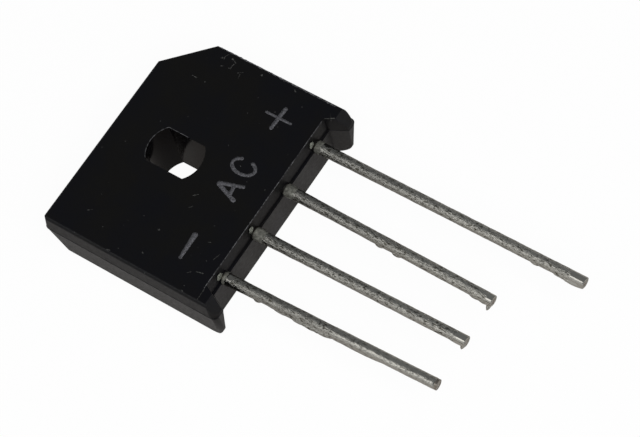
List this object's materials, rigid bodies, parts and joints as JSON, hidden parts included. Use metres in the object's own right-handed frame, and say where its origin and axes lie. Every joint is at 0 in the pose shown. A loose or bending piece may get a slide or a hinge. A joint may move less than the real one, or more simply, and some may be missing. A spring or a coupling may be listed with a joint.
{
  "type": "bridge rectifier",
  "caption": "Single-phase bridge rectifier in a flat black moulded case with a keyed corner, a screw slot, corner feet and a row of long tinned wire leads.",
  "frame": {"origin": "centre of the screw slot at the case's back face", "axes": "+Z out of the marked face, -Y along the leads, +X towards the plus lead and the keyed corner"},
  "size_m": [0.0232, 0.046, 0.0069],
  "materials": {
    "resin": "satin black epoxy moulding compound",
    "tinned_copper": "solder-dipped copper wire",
    "silicon": "ground silicon, metallised",
    "solder": "dull solder"
  },
  "bodies": {
    "root": {"body": "resin", "minus_lead": "tinned_copper", "ac_lead_1": "tinned_copper", "ac_lead_2": "tinned_copper", "plus_lead": "tinned_copper", "chip_minus_lower": "silicon", "chip_minus_upper": "silicon", "chip_plus_lower": "silicon", "chip_plus_upper": "silicon", "solder_minus_lower_front": "solder", "solder_minus_lower_back": "solder", "solder_minus_upper_front": "solder", "solder_minus_upper_back": "solder", "solder_plus_lower_front": "solder", "solder_plus_lower_back": "solder", "solder_plus_upper_front": "solder", "solder_plus_upper_back": "solder"}
  },
  "joints": []
}
